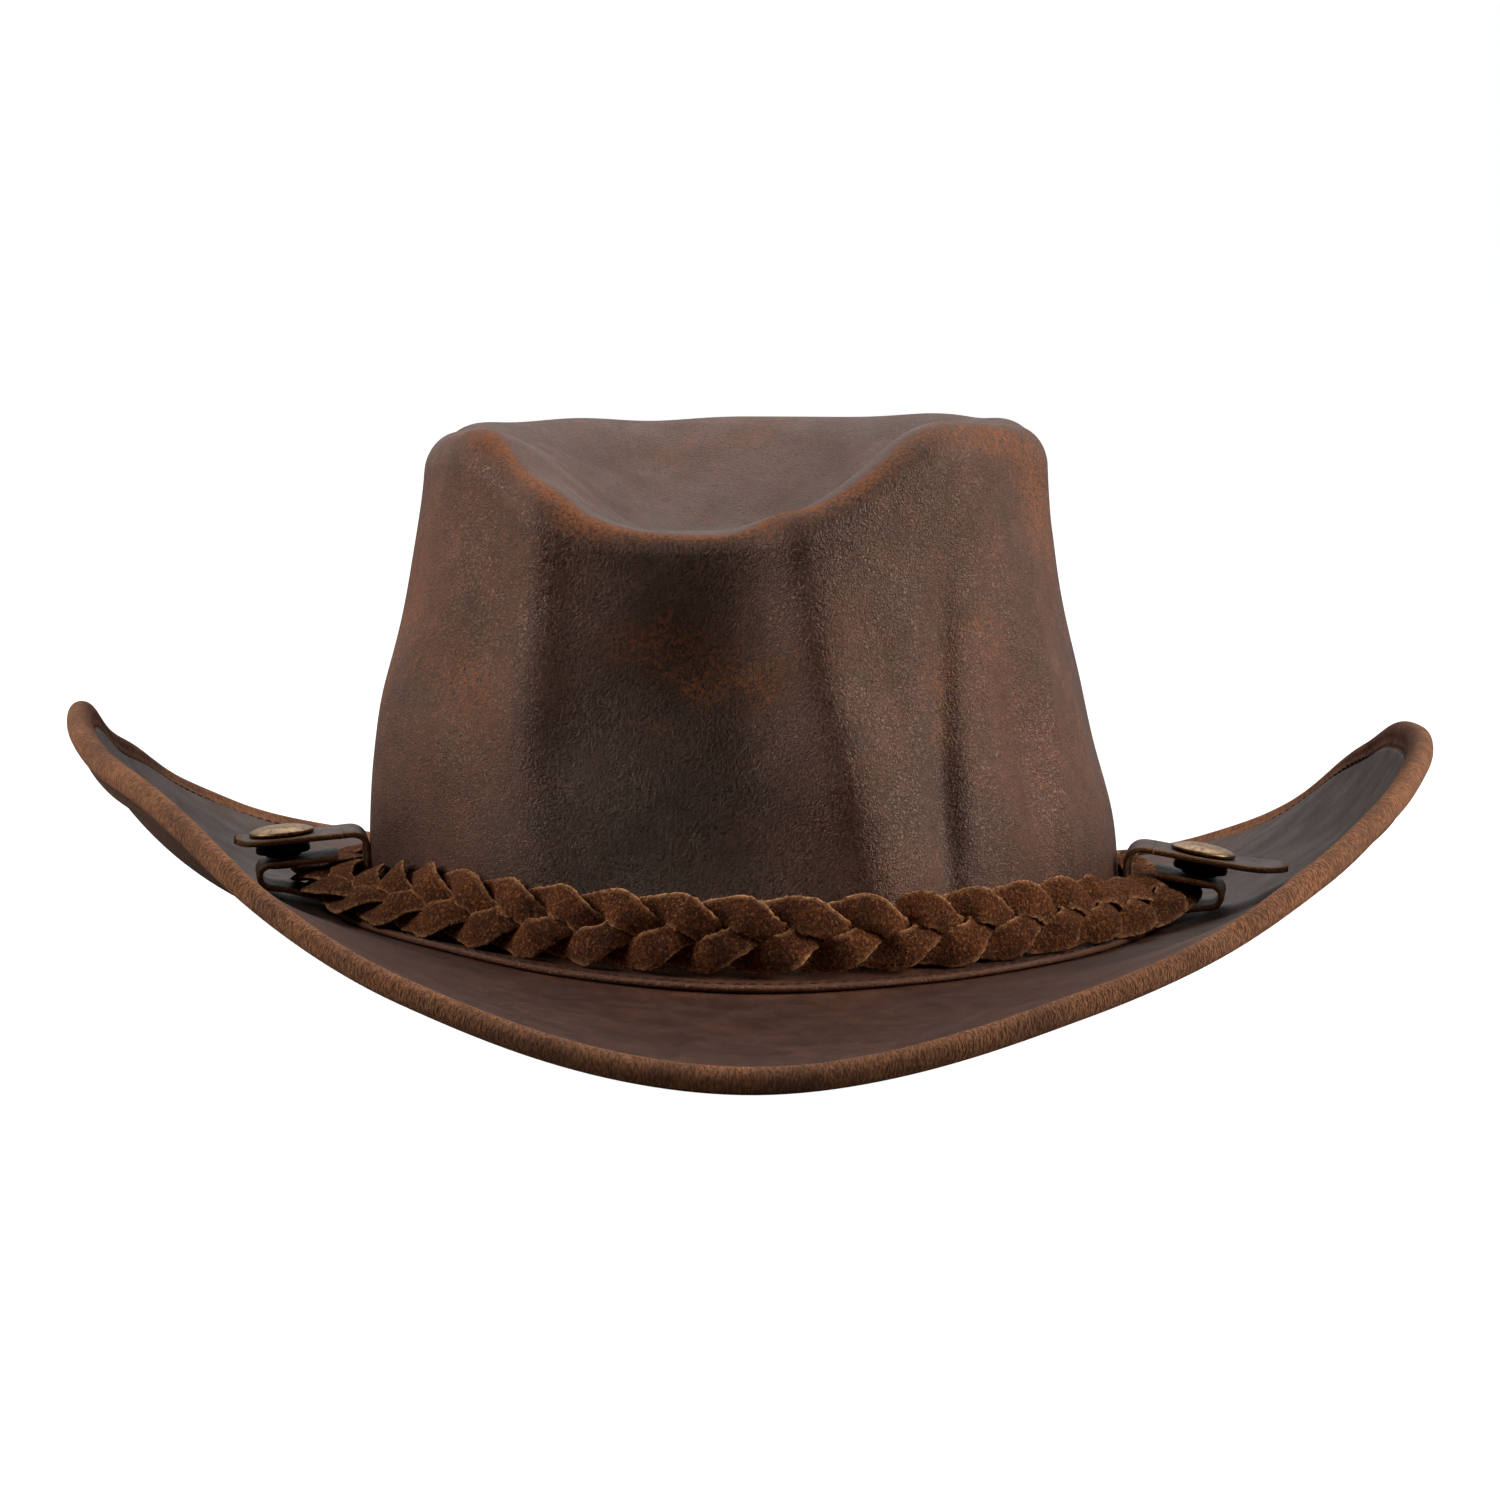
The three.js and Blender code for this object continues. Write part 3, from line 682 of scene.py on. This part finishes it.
def lathe(name, keeper, profile):
    """Turns a profile round the press stud's axis, with short extra steps beside each corner."""
    fine = []
    closed = profile[0][0] > 0
    count = len(profile)
    for i, (r, h) in enumerate(profile):
        if r == 0:
            continue
        point = np.array([r, h], float)
        for other in (profile[(i - 1) % count], profile[(i + 1) % count]):
            away = np.array(other, float) - point
            fine.append(point + away * min(0.3, 0.12 / max(1e-6, np.linalg.norm(away))))
    radius, height = np.array(fine).T
    angles = (np.arange(SNAP_SIDES) * TAU / SNAP_SIDES)[:, None]
    along, aside = radius * np.cos(angles), radius * np.sin(angles)
    x, z = keeper.on_strap(keeper.spec["out"] + along, height)
    rings = keeper.place(x, aside, z)
    rows, columns = rings.shape[:2]
    faces = grid_faces(rows, columns, True, closed)
    points = rings.reshape(-1, 3)
    if not closed:
        ends = [keeper.on_strap(keeper.spec["out"], h) for h in (profile[0][1], profile[-1][1])]
        points = np.concatenate([points] + [keeper.place(x, 0, z)[None] for x, z in ends])
        for i in range(rows):
            a, b = i * columns, (i + 1) % rows * columns
            faces.append((b, a, rows * columns))
            faces.append((a + columns - 1, b + columns - 1, rows * columns + 1))
    return make_mesh(name, points, outward(points, faces))


def keeper_pieces(side):
    keeper = Keeper(side)
    hat, flap = "hat", f"{side}_flap"
    loop = strap(f"{side}_keeper_strap", keeper, keeper.loop_line(), False)
    finish_piece(loop, MATERIALS["strap"], f"{side}_keeper_loop", hat)
    tongue = strap(f"{side}_keeper_tongue", keeper, keeper.flap_line(), True)
    finish_piece(tongue, MATERIALS["strap"], f"{side}_keeper_flap", None)
    bend = [keeper.place(x, 0, z) * MM for x, z in (keeper.on_strap(6.7, 5.2), keeper.on_strap(10.5, 5.2))]
    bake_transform(tongue)
    for part, body, material in (
        ("cap", flap, "brass"), ("socket", flap, "black"), ("stud", hat, "black"), ("post", hat, "black"),
    ):
        piece = lathe(f"{side}_snap_{part}_turned", keeper, SNAP_PARTS[part])
        finish_piece(piece, MATERIALS[material], f"{side}_snap_{part}", body)


# ---- materials ----
def linear(r, g, b):
    """An sRGB colour, 0 to 255, as linear RGBA."""
    parts = [v / 255 for v in (r, g, b)]
    return [v / 12.92 if v <= 0.04045 else ((v + 0.055) / 1.055) ** 2.4 for v in parts] + [1]


class Shader:
    """A procedural material round one Principled BSDF. Feature sizes are in millimetres."""

    def __init__(self, name, **fixed):
        self.material = bpy.data.materials.new(name)
        self.material.use_nodes = True
        self.tree = self.material.node_tree
        self.bsdf = self.tree.nodes["Principled BSDF"]
        for socket, value in fixed.items():
            self.bsdf.inputs[socket.replace("_", " ")].default_value = value
        self.place = self.tree.nodes.new("ShaderNodeTexCoord").outputs["Object"]

    def add(self, kind, inputs, output=0, **settings):
        node = self.tree.nodes.new(kind)
        for key, value in settings.items():
            setattr(node, key, value)
        for socket, value in inputs.items():
            target = node.inputs[socket]
            if isinstance(value, bpy.types.NodeSocket):
                self.tree.links.new(value, target)
            else:
                target.default_value = value
        return node.outputs[output]

    def noise(self, size, detail=3.0, rough=0.55, distortion=0.0, stretch=None):
        place = self.place
        if stretch:
            place = self.add("ShaderNodeMapping", {"Vector": place, "Scale": stretch})
        return self.add("ShaderNodeTexNoise", {
            "Vector": place, "Scale": 1 / (size * MM), "Detail": detail,
            "Roughness": rough, "Distortion": distortion,
        })

    def nap(self, along, across, detail=2.0):
        """Noise in the brim's own directions: feature sizes along the rim and over it."""
        place = self.add("ShaderNodeCombineXYZ", {
            0: self.math("DIVIDE", self.mask("round_x"), along),
            1: self.math("DIVIDE", self.mask("round_y"), along),
            2: self.math("DIVIDE", self.mask("across"), across),
        })
        return self.add("ShaderNodeTexNoise", {
            "Vector": place, "Scale": 1.0, "Detail": detail, "Distortion": 0.4,
        })

    def cells(self, size):
        return self.add("ShaderNodeTexVoronoi", {"Vector": self.place, "Scale": 1 / (size * MM)})

    def mask(self, name):
        node = self.tree.nodes.new("ShaderNodeAttribute")
        node.attribute_name = name
        return node.outputs["Fac"]

    def math(self, operation, a, b, clamp=False):
        return self.add("ShaderNodeMath", {0: a, 1: b}, operation=operation, use_clamp=clamp)

    def step(self, value, low, high, out_low=0.0, out_high=1.0):
        return self.add("ShaderNodeMapRange", {
            "Value": value, "From Min": low, "From Max": high, "To Min": out_low, "To Max": out_high,
        }, interpolation_type="SMOOTHSTEP")

    def mix(self, factor, a, b, blend="MIX"):
        node = self.tree.nodes.new("ShaderNodeMix")
        node.data_type = "RGBA"
        node.blend_type = blend
        for socket, value in ((node.inputs[0], factor), (node.inputs[6], a), (node.inputs[7], b)):
            if isinstance(value, bpy.types.NodeSocket):
                self.tree.links.new(value, socket)
            else:
                socket.default_value = value
        return node.outputs[2]

    def shade(self, tone, share):
        """Darkens or lightens a colour by a share of itself."""
        grey = self.add("ShaderNodeCombineColor", {0: share, 1: share, 2: share})
        return self.mix(1.0, tone, grey, "MULTIPLY")

    def bump(self, height, depth, normal=None, strength=1.0):
        inputs = {"Height": height, "Distance": depth * MM, "Strength": strength}
        if normal is not None:
            inputs["Normal"] = normal
        return self.add("ShaderNodeBump", inputs)

    def wire(self, **sockets):
        for socket, value in sockets.items():
            self.tree.links.new(value, self.bsdf.inputs[socket.replace("_", " ")])
        return self.material


def hide_tones(shader, dark, warm):
    """Dark wax-finished leather with warmer clouds, as an oiled hide has."""
    clouds = shader.step(shader.noise(42, 4, 0.6, 0.6), 0.42, 0.66)
    tone = shader.mix(clouds, dark, warm)
    mottle = shader.step(shader.noise(5, 4, 0.65), 0.35, 0.7, 0.8, 1.2)
    return shader.shade(tone, mottle)


def grain(shader, size=0.75):
    """Wormy pebbles of the grain side, about 0 to 1."""
    return shader.step(shader.noise(size, 2.5, 0.6, 1.3), 0.32, 0.68)


def grain_bump(shader, pebbles, depth=0.17):
    """Fine pebbles over soft unevenness."""
    soft = shader.bump(shader.noise(9, 2, 0.5), 0.3)
    return shader.bump(pebbles, depth, soft)


def crown_leather():
    shader = Shader("crown_leather", Specular_IOR_Level=0.6, Specular_Tint=linear(255, 216, 190))
    pebbles = grain(shader)
    tone = hide_tones(shader, linear(77, 47, 34), linear(92, 54, 37))
    tone = shader.shade(tone, shader.step(pebbles, 0, 1, 0.64, 1.28))
    # Painted shade: the hollow between the folds is darkened to as little as 30 percent of its tone.
    darkening = shader.math("MULTIPLY", shader.mask("hollow_shade"), 0.7)
    tone = shader.shade(tone, shader.math("SUBTRACT", 1.0, darkening))
    speckle = shader.noise(0.9, 3, 0.7, 0.8)
    everywhere = shader.step(shader.noise(20, 4, 0.6, 0.4), 0.5, 0.8, 0, 0.4)
    wear = shader.math("ADD", shader.mask("wear"), everywhere)
    rubbed = shader.step(shader.math("MULTIPLY", wear, shader.step(speckle, 0.36, 0.64)), 0.06, 0.6)
    tone = shader.mix(rubbed, tone, linear(142, 84, 50))
    pores = shader.step(shader.cells(2.6), 0.1, 0.17, 1, 0)
    sparse = shader.step(shader.noise(14, 2), 0.48, 0.6)
    tone = shader.mix(shader.math("MULTIPLY", pores, sparse), tone, linear(24, 15, 12))
    raw = shader.mask("raw")
    tone = shader.mix(shader.math("MULTIPLY", raw, 0.8), tone, linear(112, 68, 44))
    flesh = shader.step(shader.noise(1.0, 4, 0.7), 0.3, 0.7)
    inside = shader.mix(flesh, linear(96, 66, 46), linear(120, 86, 62))
    tone = shader.mix(shader.mask("inner"), tone, inside)
    rough = shader.step(shader.noise(12, 3), 0.3, 0.7, 0.4, 0.52)
    rough = shader.math("ADD", rough, shader.math("MULTIPLY", rubbed, 0.28), True)
    rough = shader.math("ADD", rough, shader.math("MULTIPLY", shader.mask("wear"), 0.35), True)
    # The same painted-shade mask also makes the hollow a little rougher.
    rough = shader.math("ADD", rough, shader.math("MULTIPLY", shader.mask("hollow_shade"), 0.14), True)
    rough = shader.math("ADD", rough, shader.math("MULTIPLY", shader.mask("inner"), 0.4), True)
    return shader.wire(Base_Color=tone, Roughness=rough, Normal=grain_bump(shader, pebbles))


def brim_leather():
    shader = Shader("brim_leather", Specular_IOR_Level=0.38, Specular_Tint=linear(255, 214, 186))
    tone = hide_tones(shader, linear(64, 42, 35), linear(77, 51, 41))
    streaks = shader.noise(2.2, 3, 0.6, 0.3, (1, 0.12, 1))
    tone = shader.mix(shader.step(streaks, 0.6, 0.8, 0, 0.35), tone, linear(96, 66, 52))
    scratches = shader.step(shader.noise(1.6, 2, 0.5, 0.8, (0.08, 1, 1)), 0.72, 0.76, 0, 0.6)
    tone = shader.mix(scratches, tone, linear(126, 96, 76))
    nap = shader.step(shader.noise(0.7, 4, 0.75), 0.32, 0.68)
    strokes = shader.step(shader.nap(0.4, 1.3), 0.3, 0.7)
    fuzz = shader.mix(strokes, linear(98, 62, 43), linear(156, 104, 70))
    patches = shader.step(shader.noise(16, 3), 0.3, 0.6, 0.55, 1)
    tone = shader.mix(shader.math("MULTIPLY", shader.mask("rim"), patches), tone, fuzz)
    dust = shader.step(shader.noise(6, 4, 0.7), 0.35, 0.65, 0.1, 0.9)
    dusty = shader.math("MULTIPLY", shader.mask("foot"), dust)
    tone = shader.mix(shader.math("MULTIPLY", dusty, nap), tone, linear(112, 66, 42))
    under = shader.mix(nap, linear(74, 50, 38), linear(98, 68, 50))
    tone = shader.mix(shader.mask("under"), tone, under)
    rough = shader.step(shader.noise(10, 3), 0.3, 0.7, 0.48, 0.62)
    rough = shader.math("ADD", rough, shader.math("MULTIPLY", shader.mask("rim"), 0.35), True)
    rough = shader.math("ADD", rough, shader.math("MULTIPLY", shader.mask("under"), 0.3), True)
    normal = grain_bump(shader, grain(shader), 0.06)
    normal = shader.bump(shader.math("MULTIPLY", shader.mask("rim"), strokes), 0.2, normal)
    return shader.wire(Base_Color=tone, Roughness=rough, Normal=normal)


def lining_leather():
    shader = Shader("lining_leather", Specular_IOR_Level=0.4)
    tone = shader.mix(shader.step(shader.noise(8, 4), 0.3, 0.7), linear(120, 84, 56), linear(150, 108, 74))
    return shader.wire(
        Base_Color=tone, Roughness=shader.step(shader.noise(5), 0.3, 0.7, 0.45, 0.6),
        Normal=grain_bump(shader, grain(shader), 0.08),
    )


def strap_leather():
    shader = Shader("strap_leather", Specular_IOR_Level=0.4, Specular_Tint=linear(255, 210, 180))
    tone = hide_tones(shader, linear(62, 41, 33), linear(86, 56, 42))
    flesh = shader.step(shader.noise(0.5, 4, 0.7), 0.3, 0.7)
    cut = shader.mix(flesh, linear(112, 78, 50), linear(178, 134, 92))
    tone = shader.mix(shader.mask("edge"), tone, cut)
    rough = shader.math("ADD", shader.step(shader.noise(6), 0.3, 0.7, 0.42, 0.55),
                        shader.math("MULTIPLY", shader.mask("edge"), 0.35), True)
    return shader.wire(Base_Color=tone, Roughness=rough, Normal=grain_bump(shader, grain(shader), 0.09))


def suede(name, shift):
    shader = Shader(name, Specular_IOR_Level=0.15, Sheen_Weight=0.15, Sheen_Roughness=0.6)
    shader.bsdf.inputs["Sheen Tint"].default_value = linear(190, 120, 70)
    shifted = shader.add("ShaderNodeMapping", {"Vector": shader.place, "Location": (shift, shift, 0)})
    shader.place = shifted
    nap = shader.step(shader.noise(0.62, 3, 0.7, 0.5), 0.34, 0.66)
    clouds = shader.step(shader.noise(6, 4, 0.65), 0.3, 0.7)
    tone = shader.mix(clouds, linear(78, 42, 21), linear(112, 62, 32))
    tone = shader.shade(tone, shader.step(nap, 0, 1, 0.34, 1.55))
    flecks = shader.step(shader.noise(0.7, 2, 0.6), 0.56, 0.66)
    tone = shader.mix(shader.math("MULTIPLY", flecks, 0.6), tone, linear(190, 124, 76))
    ends = shader.step(shader.noise(1.6, 4, 0.7), 0.36, 0.6, 0.1, 1)
    tone = shader.mix(shader.math("MULTIPLY", shader.mask("edge"), ends), tone, linear(230, 168, 116))
    normal = shader.bump(shader.noise(2.5, 3), 0.35)
    normal = shader.bump(nap, 0.28, normal)
    return shader.wire(Base_Color=tone, Roughness=shader.step(nap, 0.3, 0.7, 0.8, 0.95), Normal=normal)


def thread():
    shader = Shader("thread", Specular_IOR_Level=0.3)
    tone = shader.mix(shader.noise(0.5, 3), linear(34, 22, 17), linear(70, 46, 34))
    return shader.wire(
        Base_Color=tone, Roughness=shader.step(shader.noise(2), 0.3, 0.7, 0.55, 0.75),
        Normal=shader.bump(shader.noise(0.25, 2), 0.08),
    )


def metal(name, worn, dark, rough):
    shader = Shader(name, Metallic=1.0)
    tarnish = shader.step(shader.noise(2.4, 5, 0.7, 0.4), 0.38, 0.66)
    tone = shader.mix(tarnish, worn, dark)
    scuffs = shader.noise(0.8, 3, 0.6, 0, (1, 0.2, 1))
    return shader.wire(
        Base_Color=tone, Roughness=shader.step(scuffs, 0.3, 0.7, rough, rough + 0.22),
        Normal=shader.bump(scuffs, 0.03),
    )


def wire_steel():
    shader = Shader("wire_steel", Metallic=1.0)
    tone = shader.mix(shader.noise(3), linear(150, 150, 152), linear(110, 110, 114))
    return shader.wire(Base_Color=tone, Roughness=shader.step(shader.noise(1), 0.3, 0.7, 0.3, 0.45))


# ---- the stage ----
def floor_material():
    """Pale grey to the hat, and bright enough to the eye to run into the white backdrop."""
    shader = Shader("pale_floor", Roughness=0.9, Specular_IOR_Level=0.1)
    shader.bsdf.inputs["Emission Color"].default_value = linear(255, 255, 255)
    tone = shader.mix(shader.noise(900, 2), linear(128, 127, 126), linear(132, 131, 130))
    path = shader.tree.nodes.new("ShaderNodeLightPath")
    glow = shader.math("MULTIPLY", path.outputs["Is Camera Ray"], FLOOR_GLOW)
    return shader.wire(Base_Color=tone, Emission_Strength=glow)


FLOOR_GLOW = 1.0
AMBIENT = 0.03
LIGHTS = [
    # name, place, size across and up in metres, power
    ("left_box", (-1.3, 0.0, 0.75), (0.6, 0.9), 21),
    ("right_box", (1.3, -0.05, 0.7), (0.8, 1.0), 29),
    ("top_box", (0.0, 1.2, 1.35), (1.6, 0.8), 11),
    ("back_panel", (0.0, 2.4, 0.75), (3.4, 1.4), 8),
]
AIM = Vector((0, 0, 0.06))


def stage():
    size = 12
    floor = make_mesh("floor", np.array([[-1, -1, 0], [1, -1, 0], [1, 1, 0], [-1, 1, 0]]) * size / MM,
                      [(0, 1, 2, 3)], sharp=True)
    floor.data.materials.append(floor_material())
    for name, place, extent, power in LIGHTS:
        lamp = bpy.data.lights.new(name, "AREA")
        lamp.shape = "RECTANGLE"
        lamp.size, lamp.size_y = extent
        lamp.energy = power
        light = bpy.data.objects.new(name, lamp)
        light.location = place
        light.visible_camera = False
        light.rotation_euler = (AIM - Vector(place)).to_track_quat("-Z", "Y").to_euler()
        bpy.context.scene.collection.objects.link(light)
    world = bpy.data.worlds.new("studio")
    world.use_nodes = True
    world.node_tree.nodes["Background"].inputs["Color"].default_value = (1, 1, 1, 1)
    world.node_tree.nodes["Background"].inputs["Strength"].default_value = AMBIENT
    bpy.context.scene.world = world
    seen = world.node_tree.nodes.new("ShaderNodeBackground")
    choose = world.node_tree.nodes.new("ShaderNodeMixShader")
    path = world.node_tree.nodes.new("ShaderNodeLightPath")
    links = world.node_tree.links
    links.new(path.outputs["Is Camera Ray"], choose.inputs[0])
    links.new(world.node_tree.nodes["Background"].outputs[0], choose.inputs[1])
    links.new(seen.outputs[0], choose.inputs[2])
    seen.inputs["Color"].default_value = (1, 1, 1, 1)
    links.new(choose.outputs[0], world.node_tree.nodes["World Output"].inputs[0])
    bpy.context.scene.view_settings.view_transform = "Standard"


# The camera stands `elevation` degrees up from the crown's foot and looks `look` mm above it.
CAMERA = {
    "distance": 1.4, "elevation": 7.4, "roll": 1.0, "look": 38, "lens": 142.8, "sensor": 36,
    "shift": (0.0007, 0.0),
}


def camera():
    lens = bpy.data.cameras.new("camera")
    lens.lens = CAMERA["lens"]
    lens.sensor_width = CAMERA["sensor"]
    lens.shift_x, lens.shift_y = CAMERA["shift"]
    eye = bpy.data.objects.new("camera", lens)
    target = Vector((CENTRE, 0, STAND)) * MM
    rise = math.radians(CAMERA["elevation"])
    away = Vector((0, -math.cos(rise), math.sin(rise))) * CAMERA["distance"]
    look = Vector((0, 0, CAMERA["look"])) * MM - away
    turn = look.to_track_quat("-Z", "Y").to_matrix().to_4x4()
    roll = Matrix.Rotation(math.radians(CAMERA["roll"]), 4, "Z")
    eye.matrix_world = Matrix.Translation(target + away) @ turn @ roll
    bpy.context.scene.collection.objects.link(eye)
    bpy.context.scene.camera = eye


camera()
stage()
MATERIALS = {
    "strap": strap_leather(),
    "thread": thread(),
    "brass": metal("antique_brass", linear(166, 134, 98), linear(104, 80, 56), 0.3),
    "black": metal("black_metal", linear(44, 38, 33), linear(20, 17, 15), 0.38),
}
crown()
brim()
sweatband()
stitch_row("hem_stitches", "hem_thread", BRIM["reach"] - SEAM["hem"], 0.75)
stitch_row("crown_stitches", "crown_thread", FLANGE["width"] - SEAM["flange"], 2.55)
for index, strand in enumerate("abc"):
    plait_strand(strand, TAU * index / 3, 11 + index)
plait_wrap()
for wearer_side in KEEPERS:
    keeper_pieces(wearer_side)
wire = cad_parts["brim_wire"]
wire.data.materials.clear()
wire.data.materials.append(wire_steel())
